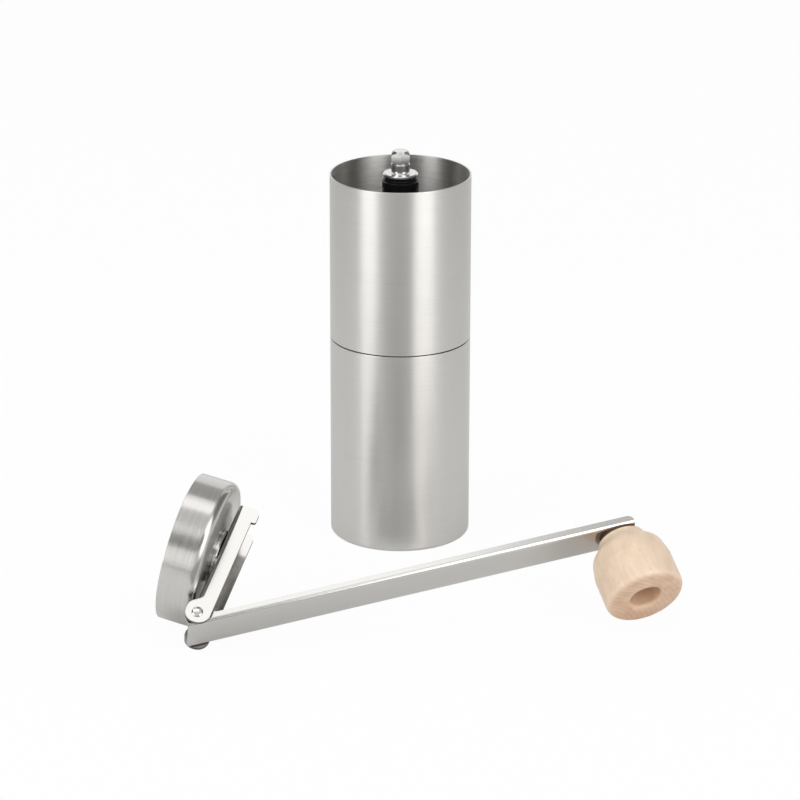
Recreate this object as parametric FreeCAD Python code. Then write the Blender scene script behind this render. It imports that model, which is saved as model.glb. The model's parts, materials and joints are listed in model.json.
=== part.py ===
import FreeCAD, Part
import math
import os

# Hand crank coffee grinder: a steel body in two halves, and a lid with a folding crank.
# Millimetres, +Z up. The origin is the middle of the catch cup's base. The grinder stands with its
# lid off, and the lid with its crank lies on the same table in front of it, towards -Y.

Vector = FreeCAD.Vector

# Fits and gaps
running_gap = 0.03
sliding_gap = 0.04
seat_gap = 0.02
thrust_gap = 0.1
free_gap = 0.3

# Edges: sheet, moulded and turned ones. Breaks under the limit are straight bevels, the rest are round.
sheet_break = 0.15
moulded_break = 0.5
turned_break = 0.4
bevel_limit = 0.75

# Steel body
body_radius = 27.5
body_height = 147.0
cup_height = 81.0
sheet_wall = 0.6
base_round = 1.5

# Burr carrier, the black frame in the foot of the tube
seam_height = 0.4
seam_setback = 0.3
socket_height = 19.6
neck_depth = 11.0
neck_gap = 0.35
carrier_wall = 1.8
carrier_rib = 1.4
rib_count = 6
funnel_lip = 1.2
shoulder_wall = 1.6
spoke_count = 3
spoke_width = 4.0
spoke_height = 7.0
spoke_drop = 0.5
spoke_bevel = 0.7
hub_radius = 9.2
hub_height = 9.0
hub_rise = 1.0
hub_taper = 1.5
hub_taper_height = 2.5
boss_radius = 2.4

# Neck seal
seal_width = 1.8
seal_depth = 1.8
seal_bevel = 0.6
seal_gap = 0.08
seal_height = 5.5

# Shaft column in the hopper
column_radius = 7.15
column_drop = 1.5
column_step = 0.45
column_step_height = 1.3
column_step_slope = 0.3
column_groove = 0.25
column_groove_width = 0.4
column_groove_drops = (2.3, 3.1)
spigot_radius = 5.8

# Plain bearings of the shaft
bush_wall = 1.5
bush_length = 7.8
bush_flange = 0.8
bush_flange_reach = 1.7

# Drive shaft and its collar
shaft_radius = 3.0
collar_radius = 6.85
collar_thick = 1.0
collar_flare = 0.9
collar_flare_height = 0.5
collar_wall = 0.65
collar_boss_height = 1.5
head_height = 8.8
head_flats = 7.0
head_base = 1.9
head_waist = 3.25
head_waist_foot = 2.4
head_waist_top = 2.7
head_shoulder = 3.5
head_crown = 1.9
head_top_radius = 2.9
drive_flats = 4.6
thread_radius = 2.3
thread_run = 0.6
shaft_tail = 1.2

# Burrs
burr_inset = 8.4
burr_lip = 2.2
outer_burr_height = 13.0
outer_teeth = 20
outer_tooth_depths = (0.7, 0.9, 1.6)
outer_sweep = (0.0, -8.0, -14.0)
inner_burr_height = 16.0
inner_burr_drop = 2.0
inner_burr_inset = 3.1
inner_burr_tip = 7.8
inner_teeth = 14
inner_tooth_depths = (0.7, 1.3, 2.2)
inner_sweep = (0.0, 14.0, 44.0)
tooth_lean = 0.35
burr_gap = 0.45
burr_lead = 1.0
band_height = 5.0
band_slope = 0.3
driver_flats = 12.0
driver_height = 9.0

# Retainer under the outer burr, and its screws
retainer_thick = 1.6
retainer_lip = 2.3
retainer_inset = 1.2
screw_count = 3
screw_radius = 1.1
screw_length = 6.0
screw_spare = 0.5
screw_head_radius = 2.0
screw_head_height = 1.2
screw_slot = 0.6

# Grind adjuster
washer_thick = 1.1
washer_radius = 6.5
washer_notches = 12
washer_notch_radius = 0.5
nut_radius = 9.0
nut_height = 8.0
nut_taper = 1.5
nut_scallops = 12
nut_scallop_radius = 1.3

# Burr spring
spring_wire = 0.8
spring_turns = 3
gap_points = 240

# Lid
lid_wall = 0.5
lid_gap = 0.1
lid_depth = 14.2
lid_round = 3.0

# Hub of the crank in the lid
disc_radius = 10.5
disc_lift = 0.12
hub_web_lift = 1.48
hub_sleeve = 6.0
hub_bush_wall = 1.5
hub_bush_flange = 11.0
hub_bush_thick = 2.0
socket_end_wall = 0.8
hub_spigot = 4.0
hub_rivet_radius = 5.2
hub_rivet_height = 0.6
clip_thick = 0.8
clip_groove = 0.7
clip_reach = 2.0
clip_opening = 60.0

# Bracket across the lid
bracket_width = 18.2
bracket_sheet = 1.2
bracket_bend = 2.0
bracket_top = 8.35
bracket_setback = 9.0
lug_rise = 1.7
lug_length = 6.2
lug_round = 2.4
lug_step_round = 0.8
ear_radius = 4.42
ear_sweep = 3.4
ear_root = 0.6
ear_root_round = 2.0

# Hinge
pin_overhang = 3.8
pin_height = 3.43
pin_radius = 1.5
pin_head_radius = 2.1
pin_head_height = 0.7

# Crank arm
fold_angle = 53.7
arm_side_gap = 0.6
arm_sheet = 1.0
arm_bend = 1.4
arm_face = 4.0
arm_depth = 3.46
arm_back = 4.44
arm_length = 170.5
arm_ear = 4.0
arm_ear_reach = 2.8
arm_ear_slope = 3.8
arm_ear_round = 3.0
arm_edge_round = 2.0
arm_end_round = 2.4
swing_gap = 0.4

# Knob and its axle
knob_station = 164.9
knob_lift = 2.0
knob_length = 27.4
knob_radius = 15.2
knob_neck_radius = 9.0
knob_neck_length = 1.3
knob_neck_round = 1.2
knob_flare_inset = 1.4
knob_flare_height = 6.6
knob_flare_round = 5.0
knob_shoulder = 13.0
knob_shoulder_round = 6.0
knob_front_round = 2.7
knob_hole_radius = 5.95
knob_hole_depth = 18.9
knob_hole_round = 1.8
axle_radius = 2.5
axle_head_radius = 4.6
axle_head_height = 2.0
axle_peen_radius = 3.8
axle_peen_height = 0.8
knob_washer_radius = 7.4
knob_washer_thick = 1.2
knob_bush_wall = 1.1

# Where the crank lies on the table
crank_heading = 17.35
crank_pin_x = -74.6
crank_pin_y = -125.1
settling_steps = 60

# Heights and radii that follow from the sizes above
bore_radius = body_radius - sheet_wall
tube_foot = cup_height + seam_height
carrier_top = tube_foot + socket_height
neck_foot = cup_height - neck_depth
neck_radius = bore_radius - neck_gap
outer_burr_radius = bore_radius - burr_inset
mouth_radius = outer_burr_radius - burr_lip
inner_burr_foot = outer_burr_radius - inner_burr_inset
retainer_bore = outer_burr_radius - retainer_lip
burr_foot = neck_foot + seat_gap
burr_top = burr_foot + outer_burr_height
pocket_radius = outer_burr_radius + seat_gap
hub_top = carrier_top + hub_rise
hub_foot = hub_top - hub_height
bush_radius = shaft_radius + bush_wall
collar_boss = shaft_radius + collar_wall
column_top = body_height - column_drop
collar_foot = column_top + bush_flange + thrust_gap
collar_top = collar_foot + collar_thick
head_top = collar_top + head_height
inner_foot = burr_foot - inner_burr_drop
inner_top = inner_foot + inner_burr_height
washer_foot = inner_foot - washer_thick
nut_foot = washer_foot - nut_height
shaft_foot = nut_foot - shaft_tail
retainer_foot = neck_foot - retainer_thick
groove_radius = bore_radius - seal_gap - seal_depth - seat_gap
screw_circle = groove_radius - boss_radius
lid_radius = body_radius + lid_gap + lid_wall
bracket_end = lid_radius - bracket_setback
pin_reach = lid_radius + pin_overhang
socket_foot = hub_web_lift - socket_end_wall - head_height - thrust_gap
arm_width = bracket_width - 2 * bracket_sheet - 2 * arm_side_gap
web_start = math.hypot(arm_back, arm_face) + swing_gap - pin_reach
knob_foot = arm_face + knob_lift
knob_front = knob_foot + knob_length
knob_floor = knob_front - knob_hole_depth


def rounded_wire(corners):
    """Closed wire in the XZ plane. A corner is (x, z), or (x, z, size) where it is rounded or bevelled."""
    points = [Vector(corner[0], 0, corner[1]) for corner in corners]
    stretches = []
    for index, corner in enumerate(corners):
        here = points[index]
        if len(corner) < 3:
            stretches.append((here, None, here))
            continue
        back = (points[index - 1] - here).normalize()
        ahead = (points[(index + 1) % len(points)] - here).normalize()
        half = back.getAngle(ahead) / 2
        reach = corner[2] / math.tan(half)
        inset = corner[2] / math.sin(half) - corner[2]
        middle = here + (back + ahead).normalize() * inset if corner[2] > bevel_limit else None
        stretches.append((here + back * reach, middle, here + ahead * reach))
    edges = []
    for index, (start, middle, end) in enumerate(stretches):
        if middle:
            edges.append(Part.Arc(start, middle, end).toShape())
        elif start != end:
            edges.append(Part.makeLine(start, end))
        following = stretches[(index + 1) % len(stretches)][0]
        if end.distanceToPoint(following) > 1e-6:
            edges.append(Part.makeLine(end, following))
    return Part.Wire(edges)


def outward(solid):
    """The same solid with its faces pointing outwards."""
    return solid if solid.Volume > 0 else solid.reversed()


def turned(corners):
    """Solid turned about Z from a half section of (radius, height) corners."""
    face = Part.Face(rounded_wire(corners))
    return outward(face.revolve(Vector(), Vector(0, 0, 1), 360))


def slab(corners, width):
    """Plate with an outline in XZ, as thick as width along Y and centred on it."""
    plate = Part.Face(rounded_wire(corners)).extrude(Vector(0, width, 0))
    plate.translate(Vector(0, -width / 2, 0))
    return outward(plate)


def channel(section, start, end):
    """Bar along X from start to end, with a section of (across, up) corners."""
    bar = Part.Face(rounded_wire(section)).extrude(Vector(0, end - start, 0))
    bar.rotate(Vector(), Vector(0, 0, 1), -90)
    bar.translate(Vector(start, 0, 0))
    return outward(bar)


def rod(radius, foot, top):
    """Plain round bar on the Z axis."""
    return Part.makeCylinder(radius, top - foot, Vector(0, 0, foot))


def hexagon(flats, foot, top):
    """Six-sided bar on the Z axis, with a corner towards -Y."""
    reach = flats / 2 / math.cos(math.radians(30))
    corners = [polar(reach, 60 * side - 90, foot) for side in range(7)]
    return Part.Face(Part.makePolygon(corners)).extrude(Vector(0, 0, top - foot))


def polar(radius, degrees, height=0.0):
    """Point at an angle about the Z axis."""
    turn = math.radians(degrees)
    return Vector(radius * math.cos(turn), radius * math.sin(turn), height)


def around(shape, count, first=0.0):
    """Copies of a shape, evenly spaced about the Z axis."""
    copies = []
    for index in range(count):
        copy = shape.copy()
        copy.rotate(Vector(), Vector(0, 0, 1), first + 360.0 * index / count)
        copies.append(copy)
    return copies


def along_y(shape):
    """A piece turned on the Z axis, laid along Y."""
    shape.rotate(Vector(), Vector(1, 0, 0), 90)
    return shape


def toothed_ring(radius, valley, teeth, turn, height):
    """Saw-toothed closed outline: ridges at radius, valleys at another radius."""
    pitch = 360.0 / teeth
    corners = []
    for tooth in range(teeth):
        corners.append(polar(radius, turn + tooth * pitch, height))
        corners.append(polar(valley, turn + (tooth + tooth_lean) * pitch, height))
    return Part.makePolygon(corners + corners[:1])


def catch_cup():
    """Drawn steel cup that the grounds fall into."""
    return turned([
        (0, 0),
        (body_radius, 0, base_round),
        (body_radius, cup_height, sheet_break),
        (bore_radius, cup_height),
        (bore_radius, sheet_wall, base_round - sheet_wall),
        (0, sheet_wall),
    ])


def upper_tube():
    """Plain steel tube, open at both ends: the bean hopper."""
    return turned([
        (body_radius, tube_foot, sheet_break),
        (body_radius, body_height, sheet_break),
        (bore_radius, body_height, sheet_break),
        (bore_radius, tube_foot),
    ])


def burr_carrier():
    """Moulded frame: a ring in the tube, a neck in the cup, a funnel, and a hub on three spokes."""
    groove_foot = neck_foot + seal_height - seal_width / 2 - seat_gap
    groove_top = neck_foot + seal_height + seal_width / 2 + seat_gap
    recess_top = cup_height - carrier_wall
    socket_radius = bore_radius - seat_gap
    frame = turned([
        (pocket_radius, neck_foot),
        (pocket_radius + carrier_wall, neck_foot),
        (pocket_radius + carrier_wall, recess_top),
        (groove_radius - carrier_wall, recess_top),
        (groove_radius - carrier_wall, neck_foot),
        (neck_radius, neck_foot, moulded_break),
        (neck_radius, groove_foot),
        (groove_radius, groove_foot),
        (groove_radius, groove_top),
        (neck_radius, groove_top),
        (neck_radius, cup_height),
        (body_radius - seam_setback, cup_height),
        (body_radius - seam_setback, tube_foot),
        (socket_radius, tube_foot),
        (socket_radius, carrier_top),
        (socket_radius - funnel_lip, carrier_top, moulded_break),
        (mouth_radius, burr_top + shoulder_wall),
        (mouth_radius, burr_top),
        (pocket_radius, burr_top),
    ])
    inner = pocket_radius + carrier_wall / 2
    reach = groove_radius - carrier_wall / 2 - inner
    corner = Vector(inner, -carrier_rib / 2, neck_foot)
    rib = Part.makeBox(reach, carrier_rib, recess_top - neck_foot, corner)
    boss = rod(boss_radius, neck_foot, recess_top)
    boss.translate(Vector(screw_circle, 0, 0))
    spoke_top = carrier_top - spoke_drop
    spoke = channel([
        (-spoke_width / 2, spoke_top - spoke_height),
        (spoke_width / 2, spoke_top - spoke_height),
        (spoke_width / 2, spoke_top, spoke_bevel),
        (-spoke_width / 2, spoke_top, spoke_bevel),
    ], 0, socket_radius - funnel_lip / 2)
    hub = turned([
        (0, hub_foot),
        (hub_radius - hub_taper, hub_foot),
        (hub_radius, hub_foot + hub_taper_height),
        (hub_radius, hub_top, moulded_break),
        (0, hub_top),
    ])
    ribs = around(rib, rib_count, 180.0 / rib_count)
    bosses = around(boss, screw_count)
    spokes = around(spoke, spoke_count, 90.0)
    frame = frame.multiFuse(ribs + bosses + spokes + [hub])
    pilot_top = retainer_foot + screw_length + screw_spare
    pilot = rod(screw_radius + seat_gap, neck_foot, pilot_top)
    pilot.translate(Vector(screw_circle, 0, 0))
    bore = rod(spigot_radius + seat_gap, hub_foot, hub_top)
    return frame.cut(around(pilot, screw_count) + [bore])


def neck_seal():
    """Rubber ring in the neck's groove, which holds the cup on."""
    lip = bore_radius - seal_gap
    foot = neck_foot + seal_height - seal_width / 2
    return turned([
        (lip - seal_depth, foot),
        (lip, foot, seal_bevel),
        (lip, foot + seal_width, seal_bevel),
        (lip - seal_depth, foot + seal_width),
    ])


def shaft_column():
    """Plastic sleeve on the hub that keeps the beans off the shaft."""
    bore = shaft_radius + free_gap
    seat = bush_radius + seat_gap
    top_radius = column_radius - column_step
    step_foot = column_top - column_step_height
    side = []
    for drop in reversed(column_groove_drops):
        groove_top = step_foot - drop
        side += [
            (column_radius, groove_top - column_groove_width),
            (column_radius - column_groove, groove_top - column_groove_width / 2),
            (column_radius, groove_top),
        ]
    return turned([
        (seat, hub_foot),
        (spigot_radius, hub_foot),
        (spigot_radius, hub_top),
        (column_radius, hub_top),
        *side,
        (column_radius, step_foot),
        (top_radius, step_foot + column_step_slope),
        (top_radius, column_top, turned_break),
        (seat, column_top),
        (seat, column_top - bush_length - free_gap),
        (bore, column_top - bush_length - free_gap),
        (bore, hub_foot + bush_length + free_gap),
        (seat, hub_foot + bush_length + free_gap),
    ])


def shaft_bush(face, way):
    """Flanged plain bearing. Its flange lies on a face, on the side that way points to."""
    bore = shaft_radius + running_gap
    flange_radius = bush_radius + bush_flange_reach
    return turned([
        (bore, face + way * bush_flange),
        (flange_radius, face + way * bush_flange),
        (flange_radius, face),
        (bush_radius, face),
        (bush_radius, face - way * bush_length),
        (bore, face - way * bush_length),
    ])


def shaft_collar():
    """Polished disc on top of the column, with a boss round the shaft."""
    return turned([
        (shaft_radius + seat_gap, collar_foot),
        (collar_radius, collar_foot),
        (collar_radius, collar_top, turned_break),
        (collar_boss + collar_flare, collar_top),
        (collar_boss, collar_top + collar_flare_height),
        (collar_boss, collar_top + collar_boss_height),
        (shaft_radius + seat_gap, collar_top + collar_boss_height),
    ])


def drive_shaft():
    """Steel shaft: a six-sided head with a turned waist, a round journal, drive flats and a tail."""
    head_foot = collar_top + collar_boss_height
    corner_radius = head_flats / math.sqrt(3) + free_gap
    envelope = turned([
        (0, head_foot),
        (collar_boss, head_foot),
        (collar_boss, head_foot + head_base),
        (head_waist, head_foot + head_waist_foot),
        (head_waist, head_foot + head_waist_top),
        (corner_radius, head_foot + head_shoulder),
        (corner_radius, head_top - head_crown),
        (head_top_radius, head_top),
        (0, head_top),
    ])
    head = envelope.common(hexagon(head_flats, head_foot + head_waist_foot, head_top))
    neck = envelope.common(rod(collar_boss, head_foot, head_foot + head_waist_top))
    journal = rod(shaft_radius, inner_top, head_foot)
    flats_foot = washer_foot + thread_run
    flats = rod(shaft_radius, flats_foot, inner_top).common(
        Part.makeBox(drive_flats, body_radius, inner_top - flats_foot,
                     Vector(-drive_flats / 2, -body_radius / 2, flats_foot)))
    tail = turned([
        (0, shaft_foot),
        (thread_radius, shaft_foot, turned_break),
        (thread_radius, flats_foot),
        (0, flats_foot),
    ])
    return head.multiFuse([neck, journal, flats, tail]).removeSplitter()


def outer_burr():
    """Ceramic ring burr, with teeth in a bore that narrows to the grinding band."""
    foot_ridge = inner_burr_foot - band_slope * inner_burr_drop + burr_gap
    ridges = (
        (foot_ridge + band_slope * burr_lead, burr_foot - burr_lead),
        (foot_ridge - band_slope * band_height, burr_foot + band_height),
        (mouth_radius - burr_lead, burr_top + burr_lead),
    )
    rings = []
    for (ridge, height), depth, turn in zip(ridges, outer_tooth_depths, outer_sweep):
        rings.append(toothed_ring(ridge, ridge + depth, outer_teeth, turn, height))
    cutter = Part.makeLoft(rings, True, True)
    return rod(outer_burr_radius, burr_foot, burr_top).cut(outward(cutter))


def inner_burr():
    """Ceramic cone burr, with spiral flutes that grow shallow towards the grinding band."""
    band_top = inner_foot + band_height + inner_burr_drop
    band_radius = inner_burr_foot - band_slope * (band_top - inner_foot)
    ridges = ((inner_burr_foot, inner_foot), (band_radius, band_top), (inner_burr_tip, inner_top))
    rings = []
    for (ridge, height), depth, turn in zip(ridges, inner_tooth_depths, inner_sweep):
        rings.append(toothed_ring(ridge, ridge - depth, inner_teeth, turn, height))
    cone = outward(Part.makeLoft(rings, True, True))
    bore = rod(shaft_radius + free_gap, inner_foot, inner_top)
    pocket = hexagon(driver_flats + 2 * seat_gap, inner_foot, inner_foot + driver_height)
    return cone.cut([bore, pocket])


def burr_driver():
    """Six-sided core in the inner burr, with a slot that slides on the shaft's flats."""
    core = hexagon(driver_flats, inner_foot, inner_foot + driver_height)
    slot = rod(shaft_radius + sliding_gap, inner_foot, inner_top).common(
        Part.makeBox(drive_flats + 2 * sliding_gap, body_radius, inner_burr_height,
                     Vector(-drive_flats / 2 - sliding_gap, -body_radius / 2, inner_foot)))
    return core.cut(slot)


def burr_retainer():
    """Flat ring screwed under the carrier, which keeps the outer burr in its pocket."""
    ring = turned([
        (retainer_bore, retainer_foot),
        (neck_radius - retainer_inset, retainer_foot, turned_break),
        (neck_radius - retainer_inset, neck_foot),
        (retainer_bore, neck_foot),
    ])
    hole = rod(screw_radius + seat_gap, retainer_foot, neck_foot)
    hole.translate(Vector(screw_circle, 0, 0))
    return ring.cut(around(hole, screw_count))


def retainer_screws():
    """Pan head screws of the retainer."""
    head_foot = retainer_foot - screw_head_height
    screw = turned([
        (0, head_foot),
        (screw_head_radius, head_foot, turned_break),
        (screw_head_radius, retainer_foot),
        (screw_radius, retainer_foot),
        (screw_radius, retainer_foot + screw_length),
        (0, retainer_foot + screw_length),
    ])
    corner = Vector(-screw_head_radius, -screw_slot / 2, head_foot)
    slot = Part.makeBox(2 * screw_head_radius, screw_slot, screw_slot, corner)
    screw = screw.cut(slot)
    screw.translate(Vector(screw_circle, 0, 0))
    return Part.makeCompound(around(screw, screw_count))


def click_washer():
    """Notched washer between the inner burr and the adjusting nut."""
    washer = rod(washer_radius, washer_foot, inner_foot)
    notch = rod(washer_notch_radius, washer_foot, inner_foot)
    notch.translate(Vector(washer_radius, 0, 0))
    slot = rod(shaft_radius + sliding_gap, washer_foot, inner_foot).common(
        Part.makeBox(drive_flats + 2 * sliding_gap, body_radius, washer_thick,
                     Vector(-drive_flats / 2 - sliding_gap, -body_radius / 2, washer_foot)))
    return washer.cut(around(notch, washer_notches) + [slot])


def adjusting_nut():
    """Scalloped plastic nut on the shaft's tail, which sets the grind."""
    nut = turned([
        (thread_radius + sliding_gap, nut_foot),
        (nut_radius, nut_foot, moulded_break),
        (nut_radius, washer_foot - nut_taper),
        (washer_radius, washer_foot),
        (thread_radius + sliding_gap, washer_foot),
    ])
    scallop = rod(nut_scallop_radius, nut_foot, washer_foot)
    scallop.translate(Vector(nut_radius + nut_scallop_radius / 2, 0, 0))
    return nut.cut(around(scallop, nut_scallops))


def biarc(start, heading, end, final):
    """Two arcs from start to end that leave along heading and arrive along final."""
    chord = end - start
    both = heading + final
    spread = 2 * (1 - heading.dot(final))
    along = chord.dot(both)
    reach = (math.sqrt(along ** 2 + spread * chord.dot(chord)) - along) / spread
    joint = (start + end) / 2 + (heading - final) * (reach / 2)
    return [bent(start, heading, joint), bent(end, final * -1, joint)]


def bent(start, heading, end):
    """Arc from start to end that leaves along heading."""
    chord = end - start
    forward = Vector(chord).normalize()
    side = (heading - forward * heading.dot(forward)).normalize()
    sagitta = chord.Length / 2 * math.tan(heading.getAngle(forward) / 2)
    return Part.Arc(start, (start + end) / 2 + side * sagitta, end).toShape()


def burr_spring():
    """Open coil round the shaft that pushes the inner burr down."""
    coil_radius = bush_radius + spring_wire / 2
    top = hub_foot - bush_flange - spring_wire / 2 - thrust_gap
    foot = inner_top + spring_wire / 2 + thrust_gap
    climb = (top - foot) / spring_turns
    lean = math.atan2(climb, 2 * math.pi * coil_radius)

    def station(half):
        return polar(coil_radius, 180 * half, foot + climb * half / 2)

    def heading(half):
        return polar(math.cos(lean), 180 * half + 90, math.sin(lean))

    arcs = []
    for half in range(2 * spring_turns):
        arcs += biarc(station(half), heading(half), station(half + 1), heading(half + 1))
    path = Part.Wire(Part.sortEdges(arcs)[0])
    print_least_gap(path)
    ring = Part.Wire(Part.makeCircle(spring_wire / 2, station(0), heading(0)))
    return path.makePipeShell([ring], True, False)


def print_least_gap(path):
    """Prints the least gap between the turns, measured on points along the coil."""
    points = path.discretize(Number=gap_points)
    apart = int(gap_points / spring_turns / 2)
    least = min(
        points[first].distanceToPoint(points[second])
        for first in range(gap_points)
        for second in range(first + apart, gap_points))
    print("burr_spring: least gap between turns %.2f mm" % (least - spring_wire))


def lid_cap():
    """Shallow drawn cap that slides over the top of the tube."""
    hole = hub_sleeve + running_gap + hub_bush_wall + seat_gap
    inner = lid_radius - lid_wall
    return turned([
        (hole, -lid_wall),
        (hole, 0),
        (lid_radius, 0, lid_round),
        (lid_radius, -lid_depth, sheet_break),
        (inner, -lid_depth),
        (inner, -lid_wall, lid_round - lid_wall),
    ])


def lid_bush():
    """Flanged plastic bush in the lid, which the crank's socket turns in."""
    bore = hub_sleeve + running_gap
    return turned([
        (bore, -lid_wall - hub_bush_thick),
        (hub_bush_flange, -lid_wall - hub_bush_thick, moulded_break),
        (hub_bush_flange, -lid_wall),
        (bore + hub_bush_wall, -lid_wall),
        (bore + hub_bush_wall, 0),
        (bore, 0),
    ])


def drive_socket():
    """Steel socket through the lid that fits the shaft's head. Its top is riveted to the bracket."""
    web_top = hub_web_lift + bracket_sheet
    groove_top = -lid_wall - hub_bush_thick - seat_gap
    groove_foot = groove_top - clip_thick - 2 * seat_gap
    body = turned([
        (0, socket_foot),
        (hub_sleeve, socket_foot, turned_break),
        (hub_sleeve, groove_foot),
        (hub_sleeve - clip_groove, groove_foot),
        (hub_sleeve - clip_groove, groove_top),
        (hub_sleeve, groove_top),
        (hub_sleeve, hub_web_lift),
        (hub_spigot, hub_web_lift),
        (hub_spigot, web_top),
        (hub_rivet_radius, web_top),
        (hub_rivet_radius, web_top + hub_rivet_height, turned_break),
        (0, web_top + hub_rivet_height),
    ])
    socket_top = hub_web_lift - socket_end_wall
    drive = hexagon(head_flats + 2 * sliding_gap, socket_foot, socket_top)
    boss_room = rod(collar_boss + collar_flare + free_gap, socket_foot,
                    socket_foot + collar_boss_height + head_base)
    return body.cut([drive, boss_room])


def hub_disc():
    """Polished disc between the lid and the bracket."""
    return turned([
        (hub_sleeve + seat_gap, disc_lift),
        (disc_radius, disc_lift),
        (disc_radius, hub_web_lift, turned_break),
        (hub_sleeve + seat_gap, hub_web_lift),
    ])


def socket_clip():
    """Open spring ring in the socket's groove, under the lid's bush."""
    top = -lid_wall - hub_bush_thick - 2 * seat_gap
    foot = top - clip_thick
    inner = hub_sleeve - clip_groove + seat_gap
    ring = rod(inner + clip_reach, foot, top).cut(rod(inner, foot, top))
    axis = Vector(0, 0, 1)
    opening = Part.makeCylinder(2 * hub_sleeve, clip_thick, Vector(0, 0, foot), axis, clip_opening)
    return ring.cut(opening)


def bracket():
    """Bent sheet channel on the lid: a web, two flanges with hinge ears, and a lug on one flange's end."""
    half = bracket_width / 2
    inner = half - bracket_sheet
    bend_top = hub_web_lift + bracket_bend
    web_top = hub_web_lift + bracket_sheet
    web = channel([
        (-half, bend_top),
        (-half, hub_web_lift, bracket_bend),
        (half, hub_web_lift, bracket_bend),
        (half, bend_top),
        (inner, bend_top),
        (inner, web_top, bracket_bend - bracket_sheet),
        (-inner, web_top, bracket_bend - bracket_sheet),
        (-inner, bend_top),
    ], web_start, bracket_end)
    lug_top = bracket_top + lug_rise
    lug_start = bracket_end - lug_length
    ear = [
        (-pin_reach - ear_radius, bracket_top, ear_radius),
        (-pin_reach - ear_radius, pin_height - ear_radius, ear_radius),
        (-pin_reach + ear_sweep, pin_height - ear_radius, ear_sweep),
        (web_start + ear_root, bend_top, ear_root_round),
        (bracket_end, bend_top),
    ]
    plain_end = [(bracket_end, bracket_top, lug_round)]
    lug_end = [
        (bracket_end, lug_top, lug_round),
        (lug_start, lug_top, lug_step_round),
        (lug_start, bracket_top),
    ]
    flanges = []
    for end, side in ((plain_end, -1), (lug_end, 1)):
        flange = slab(ear + end, bracket_sheet)
        flange.translate(Vector(0, side * (half - bracket_sheet / 2), 0))
        flanges.append(flange)
    pin_hole = along_y(rod(pin_radius + seat_gap, -half, half))
    pin_hole.translate(Vector(-pin_reach, 0, pin_height))
    spigot_hole = rod(hub_spigot + seat_gap, hub_web_lift, web_top)
    return web.multiFuse(flanges).cut([pin_hole, spigot_hole]).removeSplitter()


def hinge_pin():
    """Riveted pin through the ears of the bracket and the arm."""
    half = bracket_width / 2
    pin = turned([
        (0, -half - pin_head_height),
        (pin_head_radius, -half - pin_head_height, turned_break),
        (pin_head_radius, -half),
        (pin_radius, -half),
        (pin_radius, half),
        (pin_head_radius, half),
        (pin_head_radius, half + pin_head_height, turned_break),
        (0, half + pin_head_height),
    ])
    pin = along_y(pin)
    pin.translate(Vector(-pin_reach, 0, pin_height))
    return pin


def crank_arm():
    """Bent sheet channel, in its own frame: hinge pin along Y at the origin, arm along X, knob side up."""
    half = arm_width / 2
    inner = half - arm_sheet
    web_foot = arm_face - arm_sheet
    edge = arm_face - arm_depth
    bar = channel([
        (-half, -arm_ear),
        (-half, arm_face, arm_bend),
        (half, arm_face, arm_bend),
        (half, -arm_ear),
        (inner, -arm_ear),
        (inner, web_foot, arm_bend - arm_sheet),
        (-inner, web_foot, arm_bend - arm_sheet),
        (-inner, -arm_ear),
    ], -arm_back, arm_length)
    outline = slab([
        (-arm_back, arm_face),
        (-arm_back, -arm_ear, arm_ear),
        (arm_ear_reach, -arm_ear, arm_ear_round),
        (arm_ear_reach + arm_ear_slope, edge, arm_edge_round),
        (arm_length, edge, arm_end_round),
        (arm_length, arm_face),
    ], arm_width)
    pin_hole = along_y(rod(pin_radius + running_gap, -half, half))
    axle_hole = rod(axle_radius + seat_gap, web_foot, arm_face)
    axle_hole.translate(Vector(knob_station, 0, 0))
    return bar.common(outline).cut([pin_hole, axle_hole]).removeSplitter()


def knob_axle():
    """Shouldered steel axle, riveted in the arm, with its head at the bottom of the knob's hole."""
    web_foot = arm_face - arm_sheet
    head_foot = knob_floor + thrust_gap
    axle = turned([
        (0, web_foot - axle_peen_height),
        (axle_peen_radius, web_foot - axle_peen_height, turned_break),
        (axle_peen_radius, web_foot),
        (axle_radius, web_foot),
        (axle_radius, head_foot),
        (axle_head_radius, head_foot),
        (axle_head_radius, head_foot + axle_head_height, turned_break),
        (0, head_foot + axle_head_height),
    ])
    axle.translate(Vector(knob_station, 0, 0))
    return axle


def knob_washer():
    """Dark washer between the arm and the knob."""
    bore = axle_radius + seat_gap
    washer = turned([
        (bore, arm_face),
        (knob_washer_radius, arm_face),
        (knob_washer_radius, arm_face + knob_washer_thick),
        (bore, arm_face + knob_washer_thick),
    ])
    washer.translate(Vector(knob_station, 0, 0))
    return washer


def knob_bush():
    """Sleeve in the knob that runs on the axle."""
    bore = axle_radius + running_gap
    bush = rod(bore + knob_bush_wall, knob_foot, knob_floor).cut(rod(bore, knob_foot, knob_floor))
    bush.translate(Vector(knob_station, 0, 0))
    return bush


def knob():
    """Turned wooden knob: a short neck, a hollow flare, a full shoulder and a hole in its front."""
    bore = axle_radius + running_gap + knob_bush_wall + seat_gap
    flare_foot = knob_foot + knob_neck_length
    wood = turned([
        (bore, knob_foot),
        (knob_neck_radius, knob_foot),
        (knob_neck_radius, flare_foot, knob_neck_round),
        (knob_radius - knob_flare_inset, knob_foot + knob_flare_height, knob_flare_round),
        (knob_radius, knob_foot + knob_shoulder, knob_shoulder_round),
        (knob_radius, knob_front, knob_front_round),
        (knob_hole_radius, knob_front, knob_hole_round),
        (knob_hole_radius, knob_floor),
        (bore, knob_floor),
    ])
    wood.translate(Vector(knob_station, 0, 0))
    return wood


def arm_on_bracket():
    """Placement of the arm's frame in the lid's frame."""
    swing = FreeCAD.Rotation(Vector(0, -1, 0), fold_angle)
    return FreeCAD.Placement(Vector(-pin_reach, 0, pin_height), swing)


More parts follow.
